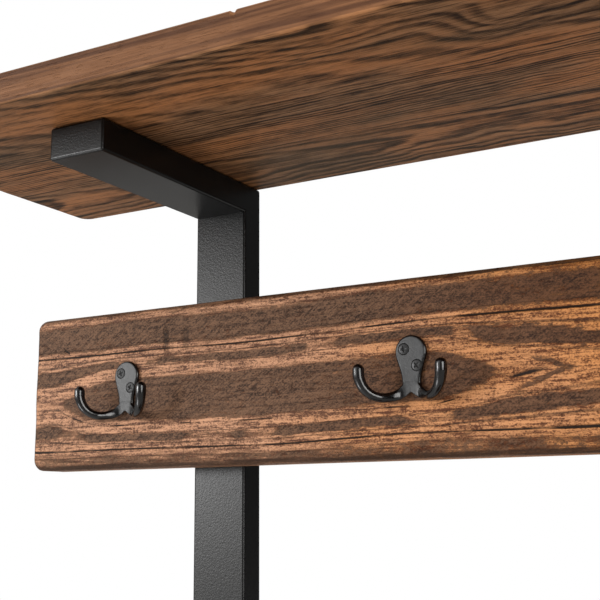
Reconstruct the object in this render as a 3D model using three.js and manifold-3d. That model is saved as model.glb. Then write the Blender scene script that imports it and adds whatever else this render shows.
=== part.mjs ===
// A free-standing hall tree: a hat shelf, a hook board with double coat hooks, a bench seat and a shoe shelf,
// all of solid wood, carried by two welded side frames of black rectangular steel tube and one stretcher.
// Millimetres. +X runs along the boards, -Y is the front, +Z is up, and the origin is on the floor under the middle.
import * as THREE from "three";
import { mergeVertices } from "three/addons/utils/BufferGeometryUtils.js";
import Module from "manifold-3d";

const wasm = await Module();
wasm.setup();

// ---- Driving dimensions -------------------------------------------------------------------------------------
const TREE_WIDTH = 990; // the length of every board
const TREE_HEIGHT = 1830; // floor to the top of the hat shelf
const END_OVERHANG = 148; // board end to the outer face of a side frame
const FIT_GAP = 0.3; // between two pieces that touch

// Steel tube and the frames
const TUBE_WIDE = 50;
const TUBE_THIN = 25;
const TUBE_WALL = 1.5;
const TUBE_RADIUS = 2.5; // outer corner
const ARM_REACH = 188; // hat shelf arm, forward of the post's front face
const ARM_CAP = 3; // thickness of the plate that closes the arm
const LEG_SETBACK = 14; // seat's front edge to the front leg's front face
const LOWER_RAIL_TOP = 160; // floor to the top of the rail that carries the shoe shelf

// Boards
const THIN_STOCK = 24; // hat shelf and shoe shelf
const THICK_STOCK = 36; // hook board and seat
const HAT_SHELF_DEPTH = 267;
const SEAT_DEPTH = 360;
const SEAT_HEIGHT = 457; // floor to the top of the seat
const SHOE_SHELF_INSET = 30; // front leg's front face to the shoe shelf's front edge
const HOOK_BOARD_HEIGHT = 133;
const HOOK_BOARD_DROP = 82.5; // underside of the arm to the top of the hook board
const BOARD_CORNER = 12; // rounded corner of a board's face
const THIN_EDGE = 3; // eased edges
const THICK_EDGE = 4.5;

// Double hooks
const HOOK_COUNT = 4;
const HOOK_SPACING = 260;
const HOOK_PLATE = 3; // thickness
const HOOK_HEAD_RADIUS = 12.3; // round top of the plate
const HOOK_HEAD_Z = 10.3; // centre of that round, above the middle of the board
const HOOK_WAIST = 7.3; // half width of the plate's narrow neck
const HOOK_WAIST_Z = -11.5;
const HOOK_FOOT = 8.9; // half width where the prongs leave the plate
const HOOK_FOOT_Z = -17;
const HOOK_NOTCH_Z = -19; // where the two prongs part
const PRONG_RADIUS = 3.8;
const PRONG_TIP_RADIUS = 4.4;
const PRONG_SPREAD = 32; // middle of the hook to the middle of a prong's tip
const PRONG_REACH = 23.3; // board to the middle of a prong's tip
const PRONG_ROOT_Z = -16;
const PRONG_LOW_Z = -23.2; // centreline at the bottom of the bend
const PRONG_TIP_Z = -3;
const HOOK_SCREW_X = 5; // the two screws lie on a diagonal
const HOOK_SCREW_Z = [12.4, 0];

// Fasteners: radii of shank and head, and the length of a head
const BOLT = { shank: 3, head: 6, headLength: 3.3 };
const HOOK_SCREW = { shank: 1.9, head: 4, headLength: 2.2, length: 20 };
const BOLT_CLEARANCE = 0.6; // around a shank that passes through a tube's wall
const BITE = 20; // how far a bolt goes into thick stock
const THIN_BITE = 15; // and into thin stock
const BOARD_BOLT_PITCH = 70; // the two bolts through a post
const SHELF_BOLT_PITCH = 120; // the two bolts in an arm
const SEAT_BOLT_PITCH = 220; // the two bolts in a seat rail
const SHOE_BOLT_PITCH = 200; // the two bolts in a lower rail
const NUT_STRIP = { width: 30, thickness: 5, endMargin: 20 };
const END_PLATE = 5;

// Levelling feet
const PAD_RADIUS = 12;
const PAD_HEIGHT = 8;
const STEM_RADIUS = 4;
const STEM_LENGTH = 32;
const PLUG_FLANGE = 3;
const PLUG_SPIGOT = 16;
const STEM_CLEARANCE = 0.5;

const ROUND = 8; // sides of a fastener
const SMOOTH = 16; // sides of a levelling foot

// ---- Places that follow from them ---------------------------------------------------------------------------
const DEPTH = BOLT.headLength + FIT_GAP + TUBE_THIN + FIT_GAP + SEAT_DEPTH;
const POST_Y = DEPTH / 2 - BOLT.headLength - FIT_GAP - TUBE_THIN / 2;
const POST_FRONT = POST_Y - TUBE_THIN / 2;
const POST_BACK = POST_Y + TUBE_THIN / 2;
const FRAME_X = TREE_WIDTH / 2 - END_OVERHANG - TUBE_WIDE / 2;
const SEAT_FRONT = POST_FRONT - FIT_GAP - SEAT_DEPTH;
const LEG_FRONT = SEAT_FRONT + LEG_SETBACK;
const LEG_Y = LEG_FRONT + TUBE_THIN / 2;
const TUBE_FOOT = PAD_HEIGHT + PLUG_FLANGE + 2 * FIT_GAP;
const ARM_TOP = TREE_HEIGHT - THIN_STOCK - FIT_GAP;
const ARM_FRONT = POST_FRONT - ARM_REACH;
const SEAT_RAIL_TOP = SEAT_HEIGHT - THICK_STOCK - FIT_GAP;
const HOOK_BOARD_FRONT = POST_FRONT - FIT_GAP - THICK_STOCK;
const HOOK_BOARD_Z = ARM_TOP - TUBE_THIN - HOOK_BOARD_DROP - HOOK_BOARD_HEIGHT / 2;
const HOOK_XS = Array.from({ length: HOOK_COUNT }, (_, i) => (i - (HOOK_COUNT - 1) / 2) * HOOK_SPACING);
const SIDES = [
  ["left", -FRAME_X],
  ["right", FRAME_X],
];
const pair = (middle, pitch) => [middle - pitch / 2, middle + pitch / 2];
const BOARD_BOLT_ZS = pair(HOOK_BOARD_Z, BOARD_BOLT_PITCH);
const ARM_MIDDLE = (ARM_FRONT + POST_FRONT) / 2;
const SHELF_BOLT_YS = pair(ARM_MIDDLE, SHELF_BOLT_PITCH);
const SEAT_BOLT_YS = pair((LEG_FRONT + POST_FRONT) / 2, SEAT_BOLT_PITCH);
const SHOE_BOLT_YS = pair((LEG_FRONT + POST_FRONT) / 2, SHOE_BOLT_PITCH);
const STRETCHER_Z = SEAT_HEIGHT - TUBE_WIDE / 2;

// ---- Materials ----------------------------------------------------------------------------------------------
const WOOD = new THREE.MeshStandardMaterial({ color: 0x7a4f34, roughness: 0.6, metalness: 0 });
const SHELF_WOOD = new THREE.MeshStandardMaterial({ color: 0x5f3c27, roughness: 0.6, metalness: 0 });
const BLACK_STEEL = new THREE.MeshStandardMaterial({ color: 0x1b1b1d, roughness: 0.5, metalness: 0.3 });
const HOOK_IRON = new THREE.MeshStandardMaterial({ color: 0x141415, roughness: 0.3, metalness: 0.6 });
const ZINC = new THREE.MeshStandardMaterial({ color: 0x8d9094, roughness: 0.4, metalness: 0.9 });
const PLASTIC = new THREE.MeshStandardMaterial({ color: 0x111111, roughness: 0.7, metalness: 0 });

// ---- Helpers ------------------------------------------------------------------------------------------------
// A closed geometry as a solid that can be joined and cut.
function solidOf(geometry) {
  const loose = geometry.index ? geometry.toNonIndexed() : geometry;
  const bare = new THREE.BufferGeometry().setAttribute("position", loose.getAttribute("position"));
  const merged = mergeVertices(bare, 1e-4);
  const triVerts = new Uint32Array(merged.index.array);
  return new wasm.Manifold(
    new wasm.Mesh({ numProp: 3, vertProperties: merged.attributes.position.array, triVerts }),
  );
}

function geometryOf(solid) {
  const { vertProperties, triVerts } = solid.getMesh();
  return new THREE.BufferGeometry()
    .setAttribute("position", new THREE.BufferAttribute(vertProperties, 3))
    .setIndex(new THREE.BufferAttribute(triVerts, 1));
}

// A geometry less each of the others.
function cut(geometry, cutters) {
  return geometryOf(cutters.reduce((rest, cutter) => rest.subtract(solidOf(cutter)), solidOf(geometry)));
}

function join(geometries) {
  const [first, ...others] = geometries.map(solidOf);
  return geometryOf(others.reduce((whole, piece) => whole.add(piece), first));
}

function roundedRectangle(width, height, radius) {
  const [x, y] = [width / 2, height / 2];
  const shape = new THREE.Shape();
  shape.moveTo(x - radius, -y);
  shape.absarc(x - radius, -y + radius, radius, -Math.PI / 2, 0);
  shape.absarc(x - radius, y - radius, radius, 0, Math.PI / 2);
  shape.absarc(-x + radius, y - radius, radius, Math.PI / 2, Math.PI);
  shape.absarc(-x + radius, -y + radius, radius, Math.PI, 1.5 * Math.PI);
  return shape;
}

// A board of the given length (X), width (Y) and thickness, standing on z = 0, its edges eased.
function board(length, width, thickness, edge) {
  return new THREE.ExtrudeGeometry(roundedRectangle(length, width, BOARD_CORNER), {
    depth: thickness - 2 * edge,
    bevelThickness: edge,
    bevelSize: edge,
    bevelOffset: -edge,
    bevelSegments: 2,
    curveSegments: 4,
  }).translate(0, 0, edge);
}

// A hollow tube standing on z = 0, centred, with open ends.
function tube(sizeX, sizeY, length) {
  const section = roundedRectangle(sizeX, sizeY, TUBE_RADIUS);
  const bore = roundedRectangle(sizeX - 2 * TUBE_WALL, sizeY - 2 * TUBE_WALL, TUBE_RADIUS - TUBE_WALL);
  section.holes.push(bore);
  return new THREE.ExtrudeGeometry(section, { depth: length, bevelEnabled: false, curveSegments: 2 });
}

// A body of revolution about Z, from [radius, height] pairs that start and end on the axis and run upwards.
function turned(profile, sides) {
  const points = profile.map(([radius, height]) => new THREE.Vector2(radius, height));
  return new THREE.LatheGeometry(points, sides).rotateX(Math.PI / 2);
}

const AIM = {
  up: (geometry) => geometry,
  down: (geometry) => geometry.rotateX(Math.PI),
  forward: (geometry) => geometry.rotateX(Math.PI / 2), // +Z turns to -Y
  inwardFromLeft: (geometry) => geometry.rotateY(Math.PI / 2), // +Z turns to +X
  inwardFromRight: (geometry) => geometry.rotateY(-Math.PI / 2),
};

// A round hole's cutter, from start to start + length along the given aim.
function drill(radius, length, aim = "up") {
  return AIM[aim](turned([[0, 0], [radius, 0], [radius, length], [0, length]], ROUND));
}

// A domed bolt whose head sits below z = 0 and whose shank runs up from it.
function domedBolt(length) {
  const { shank, head, headLength } = BOLT;
  const profile = [
    [0, -headLength],
    [head * 0.55, -headLength],
    [head * 0.88, -headLength * 0.7],
    [head, -headLength * 0.2],
    [head, 0],
    [shank, 0],
    [shank, length - 1],
    [shank * 0.6, length],
    [0, length],
  ];
  const socket = turned([[0, -headLength - 1], [2, -headLength - 1], [2, -1.2], [0, -1.2]], 6);
  return cut(turned(profile, ROUND), [socket]);
}

// A countersunk bolt or screw whose flat head is at z = 0 and whose shank runs down from it.
function countersunk({ shank, head, headLength }, length) {
  const profile = [
    [0, -length],
    [shank * 0.5, -length],
    [shank, -length + 2 * shank],
    [shank, -headLength],
    [head, -0.3],
    [head, 0],
    [0, 0],
  ];
  const bar = new THREE.BoxGeometry(head, head * 0.2, headLength);
  return cut(turned(profile, ROUND), [bar, bar.clone().rotateZ(Math.PI / 2)]);
}

// The hole that such a head and shank need, with a gap all round. It opens at z = 0.
function countersink({ shank, head, headLength }, length, shankGap) {
  const profile = [
    [0, -length],
    [shank + shankGap, -length],
    [shank + shankGap, -headLength - FIT_GAP],
    [head + FIT_GAP, -0.3],
    [head + FIT_GAP, 1],
    [0, 1],
  ];
  return turned(profile, ROUND);
}

const group = new THREE.Group();

function place(name, geometry, material, x, y, z) {
  const mesh = new THREE.Mesh(geometry, material);
  mesh.name = name;
  mesh.position.set(x, y, z);
  group.add(mesh);
}

// ---- Side frames --------------------------------------------------------------------------------------------
const MITRE_BLOCK = 90;

// What a 45 degree cut takes off: everything on the far side of a plane through (y, z), towards the given signs.
function mitre(y, z, signY, signZ) {
  const away = (MITRE_BLOCK - FIT_GAP) / 2 / Math.SQRT2;
  const block = new THREE.BoxGeometry(2 * TUBE_WIDE, MITRE_BLOCK, MITRE_BLOCK);
  return block.rotateX(Math.PI / 4).translate(0, y + signY * away, z + signZ * away);
}

// A tube that lies along Y, from y = 0 towards the back, its top wall at z = 0.
function rail(length) {
  return tube(TUBE_WIDE, TUBE_THIN, length).rotateX(-Math.PI / 2).translate(0, 0, -TUBE_THIN / 2);
}

function postGeometry() {
  const length = ARM_TOP - TUBE_FOOT;
  const boardBolts = BOARD_BOLT_ZS.map((z) =>
    drill(BOLT.shank + BOLT_CLEARANCE, 2 * TUBE_THIN, "forward").translate(0, TUBE_THIN, z - TUBE_FOOT),
  );
  const stretcherBolt = drill(BOLT.shank + BOLT_CLEARANCE, 2 * TUBE_WIDE, "inwardFromLeft");
  stretcherBolt.translate(-TUBE_WIDE, 0, STRETCHER_Z - TUBE_FOOT);
  const corner = mitre(0, length - TUBE_THIN / 2, -1, 1);
  return cut(tube(TUBE_WIDE, TUBE_THIN, length), [corner, ...boardBolts, stretcherBolt]);
}

function armGeometry() {
  const front = ARM_FRONT + ARM_CAP + FIT_GAP;
  const length = POST_BACK - front;
  const corner = mitre(length - TUBE_THIN / 2, -TUBE_THIN / 2, 1, -1);
  const bolts = SHELF_BOLT_YS.map((y) =>
    drill(BOLT.shank + BOLT_CLEARANCE, TUBE_THIN / 2 + 1).translate(0, y - front, -TUBE_THIN / 2),
  );
  return cut(rail(length), [corner, ...bolts]);
}

function seatRailGeometry() {
  const length = POST_FRONT - FIT_GAP - LEG_FRONT;
  const corner = mitre(TUBE_THIN / 2, -TUBE_THIN / 2, -1, -1);
  return cut(rail(length), [corner, ...railBolts(SEAT_BOLT_YS, LEG_FRONT)]);
}

function lowerRailGeometry() {
  const front = LEG_FRONT + TUBE_THIN + FIT_GAP;
  return cut(rail(POST_FRONT - FIT_GAP - front), railBolts(SHOE_BOLT_YS, front));
}

// Bolt holes through both walls of a rail that starts at the given front.
function railBolts(ys, front) {
  return ys.map((y) =>
    drill(BOLT.shank + BOLT_CLEARANCE, 2 * TUBE_THIN).translate(0, y - front, -1.5 * TUBE_THIN),
  );
}

function legGeometry() {
  const length = SEAT_RAIL_TOP - TUBE_FOOT;
  return cut(tube(TUBE_WIDE, TUBE_THIN, length), [mitre(0, length - TUBE_THIN / 2, 1, 1)]);
}

function armCapGeometry() {
  const edge = ARM_CAP / 4;
  const outline = roundedRectangle(TUBE_WIDE, TUBE_THIN, TUBE_RADIUS);
  const cap = new THREE.ExtrudeGeometry(outline, {
    depth: ARM_CAP - 2 * edge,
    bevelThickness: edge,
    bevelSize: edge,
    bevelOffset: -edge,
    bevelSegments: 1,
    curveSegments: 2,
  });
  return cap.rotateX(Math.PI / 2).translate(0, ARM_CAP - edge, 0);
}

// The bar inside an arm that the shelf's bolts thread into.
function nutStripGeometry() {
  const { width, thickness, endMargin } = NUT_STRIP;
  const bar = new THREE.BoxGeometry(width, SHELF_BOLT_PITCH + 2 * endMargin, thickness);
  const holes = pair(0, SHELF_BOLT_PITCH).map((y) =>
    drill(BOLT.shank + FIT_GAP, 2 * thickness).translate(0, y, -thickness),
  );
  return cut(bar, holes);
}

function buildFrames() {
  const post = postGeometry();
  const arm = armGeometry();
  const cap = armCapGeometry();
  const seatRail = seatRailGeometry();
  const lowerRail = lowerRailGeometry();
  const leg = legGeometry();
  const nutStrip = nutStripGeometry();
  const stripZ = ARM_TOP - TUBE_WALL - FIT_GAP - NUT_STRIP.thickness / 2;
  for (const [side, x] of SIDES) {
    place(`${side}_post`, post, BLACK_STEEL, x, POST_Y, TUBE_FOOT);
    place(`${side}_shelf_arm`, arm, BLACK_STEEL, x, ARM_FRONT + ARM_CAP + FIT_GAP, ARM_TOP);
    place(`${side}_arm_cap`, cap, BLACK_STEEL, x, ARM_FRONT, ARM_TOP - TUBE_THIN / 2);
    place(`${side}_nut_strip`, nutStrip, ZINC, x, ARM_MIDDLE, stripZ);
    place(`${side}_seat_rail`, seatRail, BLACK_STEEL, x, LEG_FRONT, SEAT_RAIL_TOP);
    place(`${side}_lower_rail`, lowerRail, BLACK_STEEL, x, LEG_FRONT + TUBE_THIN + FIT_GAP, LOWER_RAIL_TOP);
    place(`${side}_front_leg`, leg, BLACK_STEEL, x, LEG_Y, TUBE_FOOT);
  }
}

// The tube between the posts, behind the seat, with a tapped plate in each end.
function buildStretcher() {
  const length = 2 * FRAME_X - TUBE_WIDE - 2 * FIT_GAP;
  const bar = tube(TUBE_WIDE, TUBE_THIN, length).rotateY(Math.PI / 2);
  place("rear_stretcher", bar, BLACK_STEEL, -length / 2, POST_Y, STRETCHER_Z);
  const [plateY, plateZ] = [TUBE_THIN, TUBE_WIDE].map((size) => size - 2 * TUBE_WALL - 2 * FIT_GAP);
  const tapped = drill(BOLT.shank + FIT_GAP, 3 * END_PLATE, "inwardFromLeft").translate(-END_PLATE, 0, 0);
  const plate = cut(new THREE.BoxGeometry(END_PLATE, plateY, plateZ), [tapped]);
  const bolt = domedBolt(TUBE_WIDE + FIT_GAP + END_PLATE + 4);
  for (const [side, x] of SIDES) {
    const inward = -Math.sign(x);
    const plateX = -inward * (length / 2 - END_PLATE / 2);
    place(`stretcher_end_plate_${side}`, plate, ZINC, plateX, POST_Y, STRETCHER_Z);
    const aimed = AIM[inward > 0 ? "inwardFromLeft" : "inwardFromRight"](bolt.clone());
    const headX = x - inward * (TUBE_WIDE / 2 + FIT_GAP);
    place(`stretcher_bolt_${side}`, aimed, BLACK_STEEL, headX, POST_Y, STRETCHER_Z);
  }
}

// ---- Levelling feet -----------------------------------------------------------------------------------------
function buildFeet() {
  const inner = [TUBE_WIDE, TUBE_THIN].map((size) => size - 2 * TUBE_WALL - 2 * FIT_GAP);
  const flangeShape = roundedRectangle(TUBE_WIDE, TUBE_THIN, TUBE_RADIUS);
  const flange = new THREE.ExtrudeGeometry(flangeShape, {
    depth: PLUG_FLANGE,
    bevelEnabled: false,
    curveSegments: 2,
  });
  const spigotLength = PLUG_SPIGOT + PLUG_FLANGE;
  const spigot = new THREE.BoxGeometry(...inner, spigotLength).translate(0, 0, spigotLength / 2);
  const bore = drill(STEM_RADIUS + STEM_CLEARANCE, 2 * spigotLength).translate(0, 0, -spigotLength / 2);
  const plug = cut(join([flange, spigot]), [bore]);
  const padProfile = [
    [0, 0],
    [PAD_RADIUS - 1, 0],
    [PAD_RADIUS, 1],
    [PAD_RADIUS, PAD_HEIGHT - 3],
    [PAD_RADIUS - 3, PAD_HEIGHT],
    [STEM_RADIUS, PAD_HEIGHT],
    [STEM_RADIUS, PAD_HEIGHT + STEM_LENGTH - 1],
    [STEM_RADIUS - 1, PAD_HEIGHT + STEM_LENGTH],
    [0, PAD_HEIGHT + STEM_LENGTH],
  ];
  const foot = turned(padProfile, SMOOTH);
  for (const [side, x] of SIDES) {
    for (const [end, y] of [["front", LEG_Y], ["rear", POST_Y]]) {
      place(`${end}_${side}_tube_plug`, plug, PLASTIC, x, y, PAD_HEIGHT + FIT_GAP);
      place(`${end}_${side}_levelling_foot`, foot, PLASTIC, x, y, 0);
    }
  }
}

// ---- Boards -------------------------------------------------------------------------------------------------
function buildHatShelf() {
  const middle = POST_BACK - HAT_SHELF_DEPTH / 2;
  const plain = board(TREE_WIDTH, HAT_SHELF_DEPTH, THIN_STOCK, THIN_EDGE);
  const nuts = THIN_STOCK + FIT_GAP + TUBE_WALL + NUT_STRIP.thickness;
  const bolt = countersunk(BOLT, nuts + 4);
  const holes = [];
  for (const [side, x] of SIDES) {
    SHELF_BOLT_YS.forEach((y, i) => {
      holes.push(countersink(BOLT, 2 * THIN_STOCK, FIT_GAP).translate(x, y - middle, THIN_STOCK));
      place(`shelf_bolt_${side}_${i + 1}`, bolt, ZINC, x, y, TREE_HEIGHT);
    });
  }
  place("hat_shelf", cut(plain, holes), SHELF_WOOD, 0, middle, TREE_HEIGHT - THIN_STOCK);
}

// A board that lies on rails and is bolted from below.
function buildBoltedBoard(name, boltName, geometry, material, middle, z, ys, bite) {
  const bolt = domedBolt(TUBE_THIN + 2 * FIT_GAP + bite);
  const holes = [];
  for (const [side, x] of SIDES) {
    ys.forEach((y, i) => {
      holes.push(drill(BOLT.shank + FIT_GAP, 2 * bite + 2).translate(x, y - middle, -bite));
      place(`${boltName}_${side}_${i + 1}`, bolt, BLACK_STEEL, x, y, z - TUBE_THIN - 2 * FIT_GAP);
    });
  }
  place(name, cut(geometry, holes), material, 0, middle, z);
}

function buildSeat() {
  const plain = board(TREE_WIDTH, SEAT_DEPTH, THICK_STOCK, THICK_EDGE);
  const middle = SEAT_FRONT + SEAT_DEPTH / 2;
  const z = SEAT_HEIGHT - THICK_STOCK;
  buildBoltedBoard("bench_seat", "seat_bolt", plain, WOOD, middle, z, SEAT_BOLT_YS, BITE);
}

function buildShoeShelf() {
  const front = LEG_FRONT + SHOE_SHELF_INSET;
  const depth = POST_FRONT - FIT_GAP - front;
  const plain = board(TREE_WIDTH - 2 * END_OVERHANG, depth, THIN_STOCK, THIN_EDGE);
  const z = LOWER_RAIL_TOP + FIT_GAP;
  buildBoltedBoard("shoe_shelf", "shoe_shelf_bolt", plain, WOOD, front + depth / 2, z, SHOE_BOLT_YS, THIN_BITE);
}

// ---- Hook board and hooks -----------------------------------------------------------------------------------
// The plate's outline in X and Z: a round head, a narrow neck, and a notch between the prongs.
function hookPlateShape() {
  const shape = new THREE.Shape();
  const leave = -0.25; // angle at which the round head runs into the neck, in radians
  const startX = HOOK_HEAD_RADIUS * Math.cos(leave);
  const startZ = HOOK_HEAD_Z + HOOK_HEAD_RADIUS * Math.sin(leave);
  const fall = (startZ - HOOK_WAIST_Z) / 3;
  const turnZ = (HOOK_FOOT_Z + HOOK_WAIST_Z) / 2;
  const [bendX, bendZ] = [startX + fall * Math.tan(leave), startZ - fall];
  shape.moveTo(startX, startZ);
  shape.absarc(0, HOOK_HEAD_Z, HOOK_HEAD_RADIUS, leave, Math.PI - leave);
  shape.bezierCurveTo(-bendX, bendZ, -HOOK_WAIST, HOOK_WAIST_Z + fall, -HOOK_WAIST, HOOK_WAIST_Z);
  shape.quadraticCurveTo(-HOOK_WAIST, turnZ, -HOOK_FOOT, HOOK_FOOT_Z);
  shape.lineTo(0, HOOK_NOTCH_Z);
  shape.lineTo(HOOK_FOOT, HOOK_FOOT_Z);
  shape.quadraticCurveTo(HOOK_WAIST, turnZ, HOOK_WAIST, HOOK_WAIST_Z);
  shape.bezierCurveTo(HOOK_WAIST, HOOK_WAIST_Z + fall, bendX, bendZ, startX, startZ);
  return shape;
}

// A prong's centreline: out of the foot of the plate, down, and up to its tip. side is -1 or 1.
function prongCurve(side) {
  const dip = (share) => PRONG_LOW_Z + share * (PRONG_ROOT_Z - PRONG_LOW_Z);
  const rise = (share) => PRONG_LOW_Z + share * (PRONG_TIP_Z - PRONG_LOW_Z);
  const path = [
    [0.08, dip(1)],
    [0.24, dip(0.45)],
    [0.42, dip(0.1)],
    [0.6, rise(0)],
    [0.78, rise(0.11)],
    [0.92, rise(0.36)],
    [0.99, rise(0.7)],
    [1, rise(1)],
  ];
  const points = path.map(([share, z]) => {
    const forward = PRONG_RADIUS + share ** 1.5 * (PRONG_REACH - PRONG_RADIUS);
    return new THREE.Vector3(side * share * PRONG_SPREAD, -forward, z);
  });
  return new THREE.CatmullRomCurve3(points);
}

function prong(side) {
  const curve = prongCurve(side);
  const section = new THREE.Shape().absarc(0, 0, PRONG_RADIUS, 0, 2 * Math.PI);
  const rod = new THREE.ExtrudeGeometry(section, { steps: 11, extrudePath: curve, curveSegments: 4 });
  const tip = curve.getPoint(1);
  const ball = new THREE.SphereGeometry(PRONG_TIP_RADIUS, 8, 6).translate(tip.x, tip.y, tip.z);
  const root = curve.getPoint(0);
  const knuckle = new THREE.SphereGeometry(PRONG_RADIUS, 8, 4).translate(root.x, root.y, root.z);
  return [rod, ball, knuckle];
}

function hookGeometry() {
  const plate = new THREE.ExtrudeGeometry(hookPlateShape(), {
    depth: HOOK_PLATE,
    bevelEnabled: false,
    curveSegments: 4,
  }).rotateX(Math.PI / 2);
  const whole = join([plate, ...prong(-1), ...prong(1)]);
  const block = 3 * PRONG_SPREAD;
  const behind = new THREE.BoxGeometry(block, block, block).translate(0, block / 2, 0);
  const screwHoles = HOOK_SCREW_Z.map((z, i) => {
    const hole = AIM.forward(countersink(HOOK_SCREW, 3 * HOOK_PLATE, FIT_GAP));
    return hole.translate(hookScrewX(i), -HOOK_PLATE, z);
  });
  return cut(whole, [behind, ...screwHoles]);
}

const hookScrewX = (i) => (i === 0 ? -HOOK_SCREW_X : HOOK_SCREW_X);

function buildHookBoard() {
  const plain = board(TREE_WIDTH, HOOK_BOARD_HEIGHT, THICK_STOCK, THICK_EDGE).rotateX(Math.PI / 2);
  const back = HOOK_BOARD_FRONT + THICK_STOCK;
  const holes = [];
  const boardBolt = AIM.forward(domedBolt(TUBE_THIN + 2 * FIT_GAP + BITE));
  for (const [side, x] of SIDES) {
    BOARD_BOLT_ZS.forEach((z, i) => {
      const pilot = drill(BOLT.shank + FIT_GAP, 2 * BITE + 2, "forward");
      holes.push(pilot.translate(x, BITE, z - HOOK_BOARD_Z));
      place(`board_bolt_${side}_${i + 1}`, boardBolt, BLACK_STEEL, x, POST_BACK + FIT_GAP, z);
    });
  }
  const hook = hookGeometry();
  const screw = AIM.forward(countersunk(HOOK_SCREW, HOOK_SCREW.length));
  const plateBack = HOOK_BOARD_FRONT - FIT_GAP;
  HOOK_XS.forEach((hookX, h) => {
    place(`double_hook_${h + 1}`, hook, HOOK_IRON, hookX, plateBack, HOOK_BOARD_Z);
    HOOK_SCREW_Z.forEach((z, i) => {
      const x = hookX + hookScrewX(i);
      const pilot = drill(HOOK_SCREW.shank + FIT_GAP, HOOK_SCREW.length + 2, "forward");
      holes.push(pilot.translate(x, -THICK_STOCK + HOOK_SCREW.length, z));
      const name = `hook_screw_${h + 1}_${i === 0 ? "upper" : "lower"}`;
      place(name, screw, HOOK_IRON, x, plateBack - HOOK_PLATE, HOOK_BOARD_Z + z);
    });
  });
  place("hook_board", cut(plain, holes), WOOD, 0, back, HOOK_BOARD_Z);
}

buildFrames();
buildStretcher();
buildFeet();
buildHatShelf();
buildSeat();
buildShoeShelf();
buildHookBoard();

export default group;
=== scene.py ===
"""The looks of the hall tree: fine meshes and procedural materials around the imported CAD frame."""
import math

import bmesh
import bpy
import numpy as np
from mathutils import Matrix, Vector, noise


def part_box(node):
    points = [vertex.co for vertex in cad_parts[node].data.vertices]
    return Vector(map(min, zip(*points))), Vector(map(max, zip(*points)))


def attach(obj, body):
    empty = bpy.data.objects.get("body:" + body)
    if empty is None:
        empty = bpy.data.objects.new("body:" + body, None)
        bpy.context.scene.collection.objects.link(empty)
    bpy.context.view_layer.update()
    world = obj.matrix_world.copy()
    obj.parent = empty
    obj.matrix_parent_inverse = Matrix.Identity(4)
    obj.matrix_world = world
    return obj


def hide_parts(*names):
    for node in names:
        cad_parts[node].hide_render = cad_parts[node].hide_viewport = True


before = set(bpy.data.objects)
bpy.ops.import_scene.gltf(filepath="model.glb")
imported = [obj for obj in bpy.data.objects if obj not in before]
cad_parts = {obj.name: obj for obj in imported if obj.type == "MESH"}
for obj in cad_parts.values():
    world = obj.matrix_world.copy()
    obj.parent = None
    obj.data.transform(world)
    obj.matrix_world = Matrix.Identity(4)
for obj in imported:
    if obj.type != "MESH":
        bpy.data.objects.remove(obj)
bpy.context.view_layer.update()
MM = 0.001
TREE = "tree"
SIDES = ("left", "right")
HOOKS = (1, 2, 3, 4)
BOARD_CORNER = 10 * MM
TUBE_EDGE = 2.3 * MM
BUTTON_RISE = 3.3 * MM
PLATE = 3.0 * MM


# ---- Node graphs written as sums ----
class Field:
    """A number that varies over a surface: arithmetic on it adds Math nodes."""

    def __init__(self, graph, socket):
        self.graph, self.socket = graph, socket

    def _math(self, operation, *others, clamp=False):
        node = self.graph.new("ShaderNodeMath", operation=operation, use_clamp=clamp)
        for slot, value in zip(node.inputs, (self, *others)):
            self.graph.feed(slot, value)
        return Field(self.graph, node.outputs[0])

    def __add__(self, other):
        return self._math("ADD", other)

    def __sub__(self, other):
        return self._math("SUBTRACT", other)

    def __mul__(self, other):
        return self._math("MULTIPLY", other)

    def __truediv__(self, other):
        return self._math("DIVIDE", other)

    def __abs__(self):
        return self._math("ABSOLUTE")

    def power(self, exponent):
        return self._math("POWER", exponent)

    def sine(self):
        return self._math("SINE")

    def floor(self):
        return self._math("FLOOR")

    def fraction(self):
        return self._math("FRACT")

    def larger(self, other):
        return self._math("MAXIMUM", other)

    def clamped(self):
        return self._math("ADD", 0.0, clamp=True)

    def above(self, limit):
        return self._math("GREATER_THAN", limit)

    def step(self, start, end):
        """0 before start and 1 after end, with a smooth rise between them. start may be the larger."""
        node = self.graph.new("ShaderNodeMapRange", interpolation_type="SMOOTHSTEP")
        ends = (0.0, 1.0) if start < end else (1.0, 0.0)
        values = (self, min(start, end), max(start, end), *ends)
        for name, value in zip(("Value", "From Min", "From Max", "To Min", "To Max"), values):
            self.graph.feed(node.inputs[name], value)
        return Field(self.graph, node.outputs["Result"])

    def ramped(self, start, end):
        """0 before start and 1 after end, with a straight rise between them."""
        return ((self - start) * (1 / (end - start))).clamped()

    def bump_at(self, middle, half_width, softness):
        """1 in a band round middle, 0 outside it."""
        return abs(self - middle).step(half_width + softness, half_width)


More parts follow.
